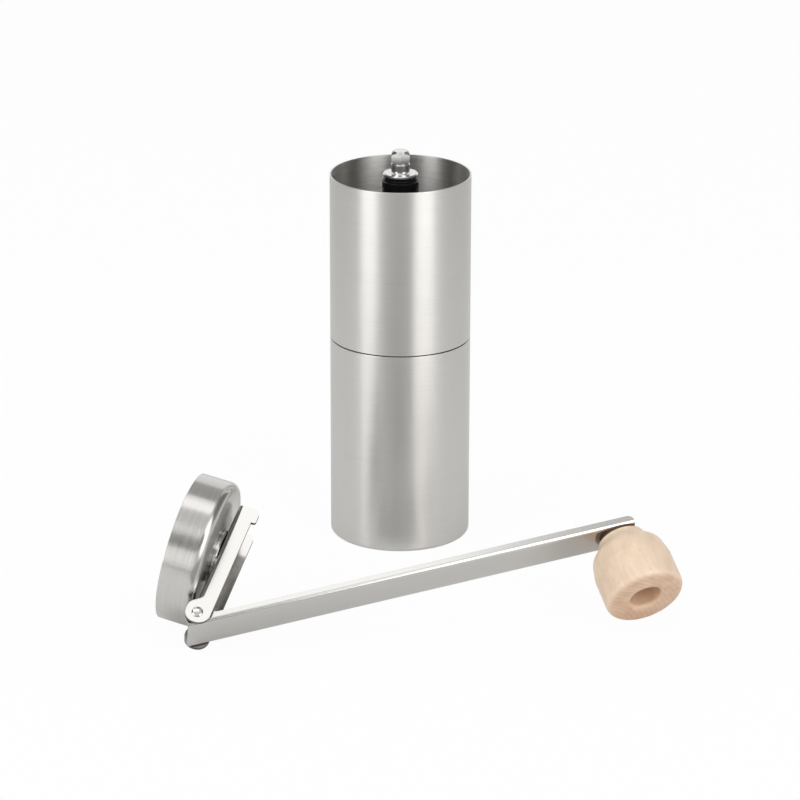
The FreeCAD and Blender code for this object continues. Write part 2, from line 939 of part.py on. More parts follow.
def lowest_of_circle(centre, axis, radius, edge, down):
    """Lowest point of a turned rim whose edge is rounded by edge."""
    fall = (down - axis * down.dot(axis)).normalize()
    return centre + fall * (radius - edge) + down * edge


def lid_on_table():
    """Placement of the lid's frame, lying on its rounded edge, a hinge ear and the knob's front edge."""
    arm = arm_on_bracket()
    knob_axis = arm.Rotation.multVec(Vector(0, 0, 1))
    knob_rim = arm.multVec(Vector(knob_station, 0, knob_front - knob_front_round))
    ear = Vector(-pin_reach, -bracket_width / 2, pin_height)
    down = Vector(-1, -1, 0).normalize()
    lid_edge = Vector(0, 0, -lid_round)
    for attempt in range(settling_steps):
        lid_point = lowest_of_circle(lid_edge, Vector(0, 0, 1), lid_radius, lid_round, down)
        ear_point = lowest_of_circle(ear, Vector(0, 1, 0), ear_radius, 0.0, down)
        knob_point = lowest_of_circle(knob_rim, knob_axis, knob_radius, knob_front_round, down)
        table = (lid_point - ear_point).cross(knob_point - ear_point).normalize()
        down = table if table.dot(down) > 0 else table * -1
    level = FreeCAD.Rotation(down, Vector(0, 0, -1))
    arm_way = level.multVec(arm.Rotation.multVec(Vector(1, 0, 0)))
    turn = crank_heading - math.degrees(math.atan2(arm_way.y, arm_way.x))
    rotation = FreeCAD.Rotation(Vector(0, 0, 1), turn).multiply(level)
    pin = rotation.multVec(arm.Base)
    table_height = rotation.multVec(ear_point).z
    return FreeCAD.Placement(Vector(crank_pin_x - pin.x, crank_pin_y - pin.y, -table_height), rotation)


body_pieces = {
    "catch_cup": catch_cup(),
    "upper_tube": upper_tube(),
    "burr_carrier": burr_carrier(),
    "neck_seal": neck_seal(),
    "shaft_column": shaft_column(),
    "upper_bush": shaft_bush(column_top, 1),
    "lower_bush": shaft_bush(hub_foot, -1),
    "shaft_collar": shaft_collar(),
    "drive_shaft": drive_shaft(),
    "outer_burr": outer_burr(),
    "inner_burr": inner_burr(),
    "burr_driver": burr_driver(),
    "burr_retainer": burr_retainer(),
    "retainer_screws": retainer_screws(),
    "click_washer": click_washer(),
    "adjusting_nut": adjusting_nut(),
    "burr_spring": burr_spring(),
}
lid_pieces = {
    "lid_cap": lid_cap(),
    "lid_bush": lid_bush(),
    "drive_socket": drive_socket(),
    "hub_disc": hub_disc(),
    "socket_clip": socket_clip(),
    "bracket": bracket(),
    "hinge_pin": hinge_pin(),
}
arm_pieces = {
    "crank_arm": crank_arm(),
    "knob_axle": knob_axle(),
    "knob_washer": knob_washer(),
    "knob_bush": knob_bush(),
    "knob": knob(),
}

lying = lid_on_table()
lying_arm = lying.multiply(arm_on_bracket())
for piece in lid_pieces.values():
    piece.Placement = lying.multiply(piece.Placement)
for piece in arm_pieces.values():
    piece.Placement = lying_arm.multiply(piece.Placement)

os.makedirs("parts", exist_ok=True)
for node, shape in {**body_pieces, **lid_pieces, **arm_pieces}.items():
    shape.exportStep("parts/%s.step" % node)
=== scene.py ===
import json
import math
import bmesh
import bpy
from mathutils import Matrix, Vector


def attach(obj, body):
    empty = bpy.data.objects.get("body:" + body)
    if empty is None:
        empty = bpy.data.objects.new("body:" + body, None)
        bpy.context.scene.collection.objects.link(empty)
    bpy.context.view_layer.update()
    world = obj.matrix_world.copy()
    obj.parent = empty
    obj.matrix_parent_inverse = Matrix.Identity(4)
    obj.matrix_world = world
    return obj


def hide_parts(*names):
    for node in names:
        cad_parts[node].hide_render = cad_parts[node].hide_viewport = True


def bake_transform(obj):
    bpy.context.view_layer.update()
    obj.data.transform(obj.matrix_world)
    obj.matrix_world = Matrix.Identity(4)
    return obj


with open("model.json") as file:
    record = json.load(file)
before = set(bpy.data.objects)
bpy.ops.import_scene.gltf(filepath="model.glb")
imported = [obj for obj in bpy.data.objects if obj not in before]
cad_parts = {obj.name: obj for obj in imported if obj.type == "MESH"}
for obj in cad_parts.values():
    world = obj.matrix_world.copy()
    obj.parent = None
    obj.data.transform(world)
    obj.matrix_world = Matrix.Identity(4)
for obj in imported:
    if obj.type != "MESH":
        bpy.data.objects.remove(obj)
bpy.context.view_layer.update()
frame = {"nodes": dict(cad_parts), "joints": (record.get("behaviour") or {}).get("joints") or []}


# Catch cup: the lower half of the body, which the ground coffee falls into.
# Drawn from thin stainless sheet, with a rounded base edge, and brushed round its axis.
upright = Matrix.Identity(4)
sheet_wall = 0.0006
sheet_edge = 0.00014
base_round = 0.0015
on_axis = 1e-7
line_floor, line_crest = 0.25, 0.75
brushed_swing = 0.25


def node_box(node, place):
    """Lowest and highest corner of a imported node, in the frame of the piece that carries it."""
    inverse = place.inverted()
    points = [inverse @ vertex.co for vertex in frame["nodes"][node].data.vertices]
    lowest = Vector([min(point[axis] for point in points) for axis in range(3)])
    highest = Vector([max(point[axis] for point in points) for axis in range(3)])
    return lowest, highest


def rounded(corners, closed, arc_steps=6, support=0.0002):
    """Points along a section of (radius, height, round) corners, with an arc at each round.

    Long stretches get a point close to each end, which keeps their middles flat in shading.
    """
    points = []
    count = len(corners)
    for index, (radius, height, edge) in enumerate(corners):
        here = Vector((radius, height))
        if edge == 0:
            points.append(here)
            continue
        back = (Vector(corners[index - 1][:2]) - here).normalized()
        ahead = (Vector(corners[(index + 1) % count][:2]) - here).normalized()
        half = back.angle(ahead) / 2
        centre = here + (back + ahead).normalized() * (edge / math.sin(half))
        start = here + back * (edge / math.tan(half)) - centre
        end = here + ahead * (edge / math.tan(half)) - centre
        first = math.atan2(start.y, start.x)
        sweep = math.remainder(math.atan2(end.y, end.x) - first, 2 * math.pi)
        for step in range(arc_steps + 1):
            turn = first + sweep * step / arc_steps
            points.append(centre + Vector((math.cos(turn), math.sin(turn))) * edge)
    spaced = []
    for index, point in enumerate(points):
        spaced.append(point)
        following = points[(index + 1) % len(points)]
        stretch = following - point
        if stretch.length > 4 * support and (closed or index + 1 < len(points)):
            spaced.append(point + stretch.normalized() * support)
            spaced.append(following - stretch.normalized() * support)
    return spaced


def set_out(name, data):
    """Puts a mesh, a lamp or the camera in the scene."""
    thing = bpy.data.objects.new(name, data)
    bpy.context.scene.collection.objects.link(thing)
    return thing


def turned(name, corners, place, closed=True, steps=160, **rounding):
    """Piece turned about its own Z axis, with a UV map along the section, then round the axis."""
    section = rounded(corners, closed, **rounding)
    lengths = [0.0]
    for index, point in enumerate(section):
        lengths.append(lengths[-1] + (section[(index + 1) % len(section)] - point).length)
    form = bmesh.new()
    grain = form.loops.layers.uv.new("grain")
    turns = [2 * math.pi * step / steps for step in range(steps)]
    rings = []
    for radius, height in section:
        if radius < on_axis:
            rings.append([form.verts.new((0, 0, height))] * steps)
            continue
        rings.append([
            form.verts.new((radius * math.cos(turn), radius * math.sin(turn), height))
            for turn in turns
        ])
    for index in range(len(section) if closed else len(section) - 1):
        following = (index + 1) % len(section)
        lower, upper = rings[index], rings[following]
        span = max(section[index].x, section[following].x) * 2 * math.pi / steps
        for step in range(steps):
            after = (step + 1) % steps
            ring = [
                (lower[step], lengths[index], step),
                (lower[after], lengths[index], step + 1),
                (upper[after], lengths[index + 1], step + 1),
                (upper[step], lengths[index + 1], step),
            ]
            corners_once = {vertex: (run, around) for vertex, run, around in ring}
            face = form.faces.new(list(corners_once))
            face.smooth = True
            for loop in face.loops:
                run, around = corners_once[loop.vert]
                loop[grain].uv = (run, around * span)
    bmesh.ops.recalc_face_normals(form, faces=form.faces)
    mesh = bpy.data.meshes.new(name)
    form.to_mesh(mesh)
    form.free()
    mesh.transform(place)
    return set_out(name, mesh)


def add_node(tree, kind, inputs=None, **settings):
    """Adds a node to a tree. An input is a value, or a (node, output) pair to link from."""
    node = tree.nodes.new(kind)
    for key, value in settings.items():
        setattr(node, key, value)
    for key, value in (inputs or {}).items():
        if isinstance(value, tuple) and isinstance(value[0], bpy.types.Node):
            tree.links.new(value[0].outputs[value[1]], node.inputs[key])
        else:
            node.inputs[key].default_value = value
    return node


def new_material(name, **sockets):
    """Node material with constants set on its shader."""
    material = bpy.data.materials.new(name)
    material.use_nodes = True
    shader = material.node_tree.nodes["Principled BSDF"]
    for key, value in sockets.items():
        shader.inputs[key.replace("_", " ")].default_value = value
    return material


def feed(material, **sockets):
    """Links (node, output) pairs to sockets of the material's own shader."""
    shader = material.node_tree.nodes["Principled BSDF"]
    for key, (node, output) in sockets.items():
        socket = shader.inputs[key.replace("_", " ")]
        material.node_tree.links.new(node.outputs[output], socket)


def brushed_steel(name, colour, roughness, anisotropy, line_pitch, streak, contrast, relief):
    """Steel with fine lines across the first axis of its grain map."""
    material = new_material(name, Metallic=1.0, Anisotropic=anisotropy)
    tree = material.node_tree
    grain = add_node(tree, "ShaderNodeUVMap", uv_map="grain")
    across = add_node(tree, "ShaderNodeSeparateXYZ", {0: (grain, "UV")})
    lines = add_node(tree, "ShaderNodeMath", {
        0: (across, "X"), 1: 1 / line_pitch,
    }, operation="MULTIPLY")
    place = add_node(tree, "ShaderNodeTexCoord")
    run = add_node(tree, "ShaderNodeMapping", {
        "Vector": (place, "Object"), "Scale": (1 / streak,) * 3,
    })
    fine = add_node(tree, "ShaderNodeTexNoise", {
        "Vector": (run, "Vector"), "W": (lines, 0), "Scale": 1.0, "Detail": 4.0, "Roughness": 0.7,
    }, noise_dimensions="4D")
    gloss = add_node(tree, "ShaderNodeMapRange", {
        "Value": (fine, 0), "From Min": line_floor, "From Max": line_crest,
        "To Min": roughness * (1 - brushed_swing), "To Max": roughness * (1 + brushed_swing),
    })
    tint = add_node(tree, "ShaderNodeMapRange", {
        "Value": (fine, 0), "From Min": line_floor, "From Max": line_crest,
        "To Min": 1 - contrast, "To Max": 1 + contrast / 2,
    })
    shade = add_node(tree, "ShaderNodeVectorMath", {
        0: colour, "Scale": (tint, 0),
    }, operation="SCALE")
    bump = add_node(tree, "ShaderNodeBump", {
        "Height": (fine, 0), "Strength": 1.0, "Distance": relief,
    })
    tangent = add_node(tree, "ShaderNodeTangent", direction_type="UV_MAP", uv_map="grain")
    feed(material, Roughness=(gloss, 0), Base_Color=(shade, 0), Normal=(bump, 0))
    feed(material, Tangent=(tangent, 0))
    return material


def fit(piece, material, body, slot, *nodes):
    """Gives a piece its material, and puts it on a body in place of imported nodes."""
    piece.data.materials.clear()
    piece.data.materials.append(material)
    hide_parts(*nodes)
    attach(piece, body)


body_steel = brushed_steel(
    "brushed_body_steel", colour=(0.70, 0.685, 0.66), roughness=0.34, anisotropy=0.8,
    line_pitch=0.00028, streak=0.03, contrast=0.07, relief=1.2e-6,
)
cup_high = node_box("catch_cup", upright)[1]
cup_radius = cup_high.x
cup = turned("cup_shell", [
    (0, 0, 0),
    (cup_radius, 0, base_round),
    (cup_radius, cup_high.z, sheet_edge),
    (cup_radius - sheet_wall, cup_high.z, sheet_edge),
    (cup_radius - sheet_wall, sheet_wall, base_round - sheet_wall),
    (0, sheet_wall, 0),
], upright, closed=False)
fit(cup, body_steel, "catch_cup", "brushed_steel", "catch_cup")


# Upper tube: the upper half of the body, the hopper that the beans are poured into.
# Plain stainless tube, brushed like the cup and coarser inside, with its cut ends smoothed.
tube_low, tube_high = node_box("upper_tube", upright)
tube_radius = tube_high.x
tube = turned("tube_shell", [
    (tube_radius, tube_low.z, sheet_edge),
    (tube_radius, tube_high.z, sheet_edge),
    (tube_radius - sheet_wall, tube_high.z, sheet_edge),
    (tube_radius - sheet_wall, tube_low.z, sheet_edge),
], upright)
fit(tube, body_steel, "upper_body", "brushed_steel", "upper_tube")
inner_steel = brushed_steel(
    "coarse_inner_steel", colour=(0.72, 0.705, 0.68), roughness=0.38, anisotropy=0.9,
    line_pitch=0.0004, streak=0.012, contrast=0.22, relief=0.8e-6,
)
tube.data.materials.append(inner_steel)
for face in tube.data.polygons:
    outward = face.normal.x * face.center.x + face.normal.y * face.center.y
    if outward < -sheet_wall / 2:
        face.material_index = 1


# Burr carrier, shaft column, bearings and seal: the black frame in the body that holds the mill.
# Moulded in glass-filled plastic, with a faint sheen and the fine grain of the mould.
# A rubber ring sits in a groove of the carrier's neck, where the neck goes into the cup.
mould_grain = 0.0004


def speckle(material, roughness, grain, relief, detail, smoothest, roughest):
    """Gives a material a fine even grain in its gloss and height, and returns the noise of it."""
    tree = material.node_tree
    place = add_node(tree, "ShaderNodeTexCoord")
    speck = add_node(tree, "ShaderNodeTexNoise", {
        "Vector": (place, "Object"), "Scale": 1 / grain, "Detail": detail, "Roughness": 0.6,
    })
    gloss = add_node(tree, "ShaderNodeMapRange", {
        "Value": (speck, 0), "To Min": roughness * smoothest, "To Max": roughness * roughest,
    })
    bump = add_node(tree, "ShaderNodeBump", {
        "Height": (speck, 0), "Strength": 1.0, "Distance": relief,
    })
    feed(material, Roughness=(gloss, 0), Normal=(bump, 0))
    return speck


def moulded(name, colour, roughness, grain, relief):
    """Plastic, rubber or ceramic with the fine even grain of a mould."""
    material = new_material(name, Base_Color=(*colour, 1), Specular_IOR_Level=0.3)
    speckle(material, roughness, grain, relief, detail=2.0, smoothest=0.8, roughest=1.25)
    return material


def coat(material, *nodes):
    """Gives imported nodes, whose shapes stay as they are, a finish."""
    for node in nodes:
        for holder in frame["nodes"][node].material_slots:
            holder.material = material


black_plastic = moulded(
    "black_moulded_plastic", colour=(0.006, 0.006, 0.0065), roughness=0.2,
    grain=mould_grain, relief=1e-6,
)
coat(black_plastic, "burr_carrier", "shaft_column", "upper_bush", "lower_bush", "burr_retainer")
seal_rubber = moulded(
    "black_seal_rubber", colour=(0.02, 0.02, 0.02), roughness=0.7,
    grain=mould_grain, relief=6e-6,
)
coat(seal_rubber, "neck_seal")


# Burrs: the cone that turns and the ring that it turns in.
# White technical ceramic, pressed and fired, with a fine dull grain.
ceramic = moulded(
    "white_ceramic", colour=(0.82, 0.80, 0.75), roughness=0.55,
    grain=0.00025, relief=4e-6,
)
coat(ceramic, "outer_burr", "inner_burr")


# Drive shaft, collar, driver and click washer: the moving middle of the mill.
# Ground stainless steel, with a six-sided head that the crank's socket sits on.
# The washer is plain spring steel, and the driver is moulded like the carrier.
darkest_tint, palest_tint = 0.95, 1.03


def plain_steel(name, colour, roughness, grain, relief):
    """Steel without lines, a little uneven in gloss and colour."""
    material = new_material(name, Metallic=1.0)
    speck = speckle(material, roughness, grain, relief, detail=3.0, smoothest=0.7, roughest=1.3)
    tint = add_node(material.node_tree, "ShaderNodeMapRange", {
        "Value": (speck, 0), "To Min": darkest_tint, "To Max": palest_tint,
    })
    shade = add_node(material.node_tree, "ShaderNodeVectorMath", {
        0: colour, "Scale": (tint, 0),
    }, operation="SCALE")
    feed(material, Base_Color=(shade, 0))
    return material


ground_steel = plain_steel(
    "ground_shaft_steel", colour=(0.80, 0.795, 0.78), roughness=0.2,
    grain=0.0006, relief=0.8e-6,
)
dull_steel = plain_steel(
    "plain_spring_steel", colour=(0.60, 0.59, 0.57), roughness=0.28,
    grain=0.0012, relief=1e-6,
)
coat(ground_steel, "drive_shaft", "shaft_collar")
coat(dull_steel, "click_washer")
coat(black_plastic, "burr_driver")


# Burr spring: the open coil round the shaft that pushes the cone down on its nut.
# Wound from plain steel wire.
spring_low, spring_high = node_box("burr_spring", upright)
spring_wire = 0.0008
spring_turns = 3.0
spring_edge = 0.00005
steps_a_turn = 64
wire_sides = 20
crease = math.radians(35)


def new_tree(name, **sizes):
    """Empty tree of Geometry Nodes for a mesh and named sizes, with the ids of its inputs."""
    tree = bpy.data.node_groups.new(name, "GeometryNodeTree")
    tree.interface.new_socket("Mesh", in_out="INPUT", socket_type="NodeSocketGeometry")
    tree.interface.new_socket("Mesh", in_out="OUTPUT", socket_type="NodeSocketGeometry")
    ids = {}
    for label, value in sizes.items():
        kind = "NodeSocketInt" if isinstance(value, int) else "NodeSocketFloat"
        socket = tree.interface.new_socket(label, in_out="INPUT", socket_type=kind)
        ids[label] = socket.identifier
    return tree, ids


def finish_tree(tree, shape, material):
    """Ends a tree with real geometry in one material."""
    real = add_node(tree, "GeometryNodeRealizeInstances", {0: shape})
    made = add_node(tree, "GeometryNodeSetMaterial", {0: (real, 0), "Material": material})
    add_node(tree, "NodeGroupOutput", {0: (made, 0)})


def soften(piece, edge, segments):
    """Rounds the sharp edges of a piece."""
    bevel = piece.modifiers.new("soften", "BEVEL")
    bevel.width = edge
    bevel.segments = segments
    bevel.limit_method = "ANGLE"
    bevel.angle_limit = crease
    bevel.harden_normals = True


def settle(piece):
    """Leaves a piece as the plain mesh that its modifiers make."""
    shown = piece.evaluated_get(bpy.context.evaluated_depsgraph_get())
    mesh = bpy.data.meshes.new_from_object(shown)
    piece.modifiers.clear()
    piece.data = mesh
    mesh.name = piece.name


def grow(piece, tree, ids, sizes, edge):
    """Runs a tree on a piece with the sizes given, and softens what it makes."""
    nodes = piece.modifiers.new(tree.name, "NODES")
    nodes.node_group = tree
    for label, value in sizes.items():
        nodes[ids[label]] = value
    soften(piece, edge, segments=2)
    settle(piece)


def coil_tree(material, sizes):
    """Tree that winds a wire into an open coil."""
    tree, ids = new_tree("wound_wire", **sizes)
    given = add_node(tree, "NodeGroupInput")
    path = add_node(tree, "GeometryNodeCurveSpiral", {
        "Resolution": steps_a_turn, "Rotations": (given, "turns"),
        "Start Radius": (given, "coil radius"), "End Radius": (given, "coil radius"),
        "Height": (given, "coil height"), "Reverse": True,
    })
    raised = add_node(tree, "ShaderNodeCombineXYZ", {"Z": (given, "coil foot")})
    in_place = add_node(tree, "GeometryNodeTransform", {
        "Geometry": (path, 0), "Translation": (raised, 0),
    })
    ring = add_node(tree, "GeometryNodeCurvePrimitiveCircle", {
        "Resolution": wire_sides, "Radius": (given, "wire radius"),
    })
    wire = add_node(tree, "GeometryNodeCurveToMesh", {
        "Curve": (in_place, 0), "Profile Curve": (ring, 0), "Fill Caps": True,
    })
    finish_tree(tree, (wire, 0), material)
    return tree, ids


spring = set_out("mill_spring", bpy.data.meshes.new("mill_spring"))
spring_sizes = {
    "turns": spring_turns,
    "coil radius": spring_high.x - spring_wire / 2,
    "wire radius": spring_wire / 2,
    "coil height": spring_high.z - spring_low.z - spring_wire,
    "coil foot": spring_low.z + spring_wire / 2,
}
grow(spring, *coil_tree(dull_steel, spring_sizes), spring_sizes, spring_edge)
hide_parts("burr_spring")
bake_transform(spring)


# Adjusting nut: the grip nut on the shaft's tail, which sets the gap between the burrs.
# Moulded black plastic, with finger grips set evenly round its rim and softened edges.
nut_low, nut_high = node_box("adjusting_nut", upright)
nut_radius = 0.009
nut_bore = 0.00234
nut_taper = 0.0015
nut_shoulder = 0.0065
nut_edge = 0.0006
nut_corner = 0.0001
grip_count = 12
grip_radius = 0.0013
grip_edge = 0.00035
grip_sides = 24


def grip_tree(material, sizes):
    """Tree that cuts finger grips evenly round the rim of a turned nut."""
    tree, ids = new_tree("finger_grips", **sizes)
    given = add_node(tree, "NodeGroupInput")
    round_rim = add_node(tree, "GeometryNodeMeshCircle", {
        "Vertices": (given, "grips"), "Radius": (given, "rim"),
    })
    cutter = add_node(tree, "GeometryNodeMeshCylinder", {
        "Vertices": grip_sides, "Radius": (given, "grip radius"), "Depth": (given, "grip height"),
    })
    cutters = add_node(tree, "GeometryNodeInstanceOnPoints", {
        "Points": (round_rim, 0), "Instance": (cutter, 0),
    })
    raised = add_node(tree, "ShaderNodeCombineXYZ", {"Z": (given, "grip middle")})
    in_place = add_node(tree, "GeometryNodeTransform", {
        "Geometry": (cutters, 0), "Translation": (raised, 0),
    })
    whole = add_node(tree, "GeometryNodeRealizeInstances", {0: (in_place, 0)})
    cut = add_node(tree, "GeometryNodeMeshBoolean", {
        0: (given, 0), 1: (whole, 0),
    }, operation="DIFFERENCE")
    finish_tree(tree, (cut, 0), material)
    return tree, ids


nut = turned("grip_nut", [
    (nut_bore, nut_low.z, nut_corner),
    (nut_radius, nut_low.z, nut_edge),
    (nut_radius, nut_high.z - nut_taper, nut_corner),
    (nut_shoulder, nut_high.z, nut_corner),
    (nut_bore, nut_high.z, nut_corner),
], upright, steps=96, arc_steps=4)
grip_sizes = {
    "grips": grip_count,
    "rim": nut_radius + grip_radius / 2,
    "grip radius": grip_radius,
    "grip height": 2 * (nut_high.z - nut_low.z),
    "grip middle": (nut_high.z + nut_low.z) / 2,
}
grow(nut, *grip_tree(black_plastic, grip_sizes), grip_sizes, grip_edge)
fit(nut, black_plastic, "adjuster", "black_plastic", "adjusting_nut")


# Retainer screws: three pan head screws that hold the ring under the outer burr.
# Plain steel, with a slot across each head.
screw_low, screw_high = node_box("retainer_screws", upright)
screw_circle = 0.0226
screw_count = 3
screw_head_radius = 0.002
screw_head_height = 0.0012
screw_head_round = 0.0007
screw_radius = 0.0011
screw_tip_round = 0.0003
screw_corner = 0.0001
screw_slot = 0.0006
screw_edge = 0.00006


def screw_tree(material, sizes):
    """Tree that cuts the slot of one screw and sets copies of it evenly on a circle."""
    tree, ids = new_tree("screw_circle", **sizes)
    given = add_node(tree, "NodeGroupInput")
    size = add_node(tree, "ShaderNodeCombineXYZ", {
        "X": (given, "slot length"), "Y": (given, "slot width"), "Z": (given, "slot depth"),
    })
    cutter = add_node(tree, "GeometryNodeMeshCube", {"Size": (size, 0)})
    foot = add_node(tree, "ShaderNodeCombineXYZ", {"Z": (given, "head foot")})
    slot = add_node(tree, "GeometryNodeTransform", {
        "Geometry": (cutter, 0), "Translation": (foot, 0),
    })
    screw = add_node(tree, "GeometryNodeMeshBoolean", {
        0: (given, 0), 1: (slot, 0),
    }, operation="DIFFERENCE")
    places = add_node(tree, "GeometryNodeMeshCircle", {
        "Vertices": (given, "screws"), "Radius": (given, "circle"),
    })
    copies = add_node(tree, "GeometryNodeInstanceOnPoints", {
        "Points": (places, 0), "Instance": (screw, 0),
    })
    finish_tree(tree, (copies, 0), material)
    return tree, ids


screw_neck = screw_low.z + screw_head_height
screws = turned("retainer_screw_set", [
    (0, screw_low.z, 0),
    (screw_head_radius, screw_low.z, screw_head_round),
    (screw_head_radius, screw_neck, screw_corner),
    (screw_radius, screw_neck, screw_corner),
    (screw_radius, screw_high.z, screw_tip_round),
    (0, screw_high.z, 0),
], upright, closed=False, steps=48, arc_steps=4)
screw_sizes = {
    "screws": screw_count,
    "circle": screw_circle,
    "head foot": screw_low.z,
    "slot length": 4 * screw_head_radius,
    "slot width": screw_slot,
    "slot depth": 2 * screw_slot,
}
grow(screws, *screw_tree(dull_steel, screw_sizes), screw_sizes, screw_edge)
fit(screws, dull_steel, "upper_body", "plain_steel", "retainer_screws")


# Lid: the shallow cap that closes the hopper and carries the crank.
# Drawn from stainless sheet and brushed round its axis, with a black bush in its middle.
lid_wall = 0.0005
lid_round = 0.003
lid_hole = 0.00755
joints = {joint["name"]: joint for joint in frame["joints"]}


def joint_vector(joint, key):
    """Axis or place of a joint at rest."""
    return Vector(joints[joint][key])


def placed(origin, across, axis):
    """Frame at an origin, with Y along across and Z along axis."""
    along = across.cross(axis).normalized()
    columns = Matrix((along, across, axis)).transposed()
    return Matrix.Translation(origin) @ columns.to_4x4()


hinge_axis = joint_vector("crank_fold", "axis")
lid_place = placed(joint_vector("lid_turn", "pos_m"), hinge_axis, joint_vector("lid_turn", "axis"))
lid_low, lid_high = node_box("lid_cap", lid_place)
lid_radius = lid_high.x
lid = turned("lid_shell", [
    (lid_hole, -lid_wall, sheet_edge),
    (lid_hole, 0, sheet_edge),
    (lid_radius, 0, lid_round),
    (lid_radius, lid_low.z, sheet_edge),
    (lid_radius - lid_wall, lid_low.z, sheet_edge),
    (lid_radius - lid_wall, -lid_wall, lid_round - lid_wall),
], lid_place, arc_steps=10)
lid_steel = brushed_steel(
    "brushed_lid_steel", colour=(0.66, 0.645, 0.62), roughness=0.24, anisotropy=0.75,
    line_pitch=0.00025, streak=0.03, contrast=0.16, relief=0.9e-6,
)
fit(lid, lid_steel, "lid", "brushed_steel", "lid_cap")
coat(black_plastic, "lid_bush")


# Crank hub: the socket that fits the shaft's head, the disc under the bracket, and a spring clip.
# Turned steel; the socket's top is riveted over in the bracket.
bright_steel = plain_steel(
    "bright_turned_steel", colour=(0.76, 0.755, 0.74), roughness=0.12,
    grain=0.0015, relief=0.2e-6,
)
coat(bright_steel, "drive_socket", "hub_disc")
coat(dull_steel, "socket_clip")


# Bracket and hinge pin: the folded channel on the lid that the arm folds into.
# Pressed stainless sheet, fine-brushed, with tumbled corners and painted shade on its cut edges.
# A riveted pin goes through its two ears.
tumbled_edge = 0.0003
weld_gap = 1e-6
flat_angle = 0.002
bracket_half = node_box("bracket", lid_place)[1].y
bracket_sheet = 0.0012
flange_rim = 0.005
ear_rim = 0.0005
facing_share = 0.6


def pressed(name, node, place, edge):
    """Copy of a packed sheet piece with its edges eased, and a grain map along its length."""
    form = bmesh.new()
    form.from_mesh(frame["nodes"][node].data)
    bmesh.ops.remove_doubles(form, verts=form.verts, dist=weld_gap)
    bmesh.ops.dissolve_limit(form, angle_limit=flat_angle, verts=form.verts, edges=form.edges)
    for face in form.faces:
        face.smooth = True
    mesh = bpy.data.meshes.new(name)
    form.to_mesh(mesh)
    form.free()
    piece = set_out(name, mesh)
    soften(piece, edge, segments=3)
    flatten = piece.modifiers.new("flatten", "WEIGHTED_NORMAL")
    flatten.weight = 100
    flatten.keep_sharp = True
    settle(piece)
    lay_grain(piece.data, place)
    return piece


def lay_grain(mesh, place):
    """UV map whose first axis runs across the length of a sheet piece, and the second along it."""
    inverse = place.inverted()
    turn = inverse.to_3x3()
    grain = mesh.uv_layers.new(name="grain")
    for face in mesh.polygons:
        normal = turn @ face.normal
        flat = abs(normal.z) > abs(normal.y)
        for corner in face.loop_indices:
            point = inverse @ mesh.vertices[mesh.loops[corner].vertex_index].co
            grain.data[corner].uv = (point.y if flat else point.z, point.x)


bracket = pressed("hinge_bracket", "bracket", lid_place, tumbled_edge)
bracket_steel = brushed_steel(
    "fine_bracket_steel", colour=(0.61, 0.598, 0.575), roughness=0.15, anisotropy=0.5,
    line_pitch=0.0002, streak=0.02, contrast=0.02, relief=0.1e-6,
)
fit(bracket, bracket_steel, "crank_bracket", "polished_steel", "bracket")
# Painted shade: the cut edges of the sheet get a dark, rougher steel that draws their shaded
# outlines.
edge_shade_steel = plain_steel(
    "painted_edge_shade_steel", colour=(0.20, 0.195, 0.19), roughness=0.4,
    grain=0.0008, relief=1e-6,
)
bracket.data.materials.append(edge_shade_steel)
# The cut edges of the flanges and ears take the dark steel of painted shade.
for face in bracket.data.polygons:
    point = lid_place.inverted() @ face.center
    normal = lid_place.to_3x3().inverted() @ face.normal
    at_rim = abs(normal.x) > facing_share or point.z > flange_rim or point.z < ear_rim
    in_wall = abs(point.y) > bracket_half - bracket_sheet
    if at_rim and in_wall and abs(normal.y) < facing_share:
        face.material_index = 1

hinge_place = joint_vector("crank_fold", "pos_m")
knob_axis = joint_vector("knob_spin", "axis")
pin_place = placed(hinge_place, knob_axis, hinge_axis)
pin_high = node_box("hinge_pin", pin_place)[1]
pin_radius = 0.0015
rivet_rim = 0.0003
rivet_edge = 0.00005
dome_steps = 8
dome_height = pin_high.z - bracket_half - rivet_rim
dome_radius = (pin_high.x ** 2 + dome_height ** 2) / (2 * dome_height)
dome_turn = math.asin(pin_high.x / dome_radius)
top_half = []
for index in range(dome_steps + 1):
    turn = dome_turn * index / dome_steps
    drop = dome_radius * (1 - math.cos(turn))
    top_half.append((dome_radius * math.sin(turn), pin_high.z - drop, 0))
top_half.append((pin_high.x, bracket_half, rivet_edge))
top_half.append((pin_radius, bracket_half, 0))
low_half = [(radius, -height, edge) for radius, height, edge in top_half]
rivet = turned("hinge_rivet", low_half + top_half[::-1], pin_place, closed=False, steps=64)
fit(rivet, bright_steel, "crank_bracket", "plain_steel", "hinge_pin")


# Crank arm: the long folded channel from the hinge to the knob.
# Pressed stainless sheet, brushed along its length, with two ears that turn on the hinge pin.
arm_place = placed(hinge_place, hinge_axis, knob_axis)
arm = pressed("arm_channel", "crank_arm", arm_place, tumbled_edge)
arm_steel = brushed_steel(
    "brushed_arm_steel", colour=(0.64, 0.628, 0.605), roughness=0.20, anisotropy=0.5,
    line_pitch=0.00022, streak=0.05, contrast=0.02, relief=0.06e-6,
)
fit(arm, arm_steel, "crank_arm", "arm_steel", "crank_arm")
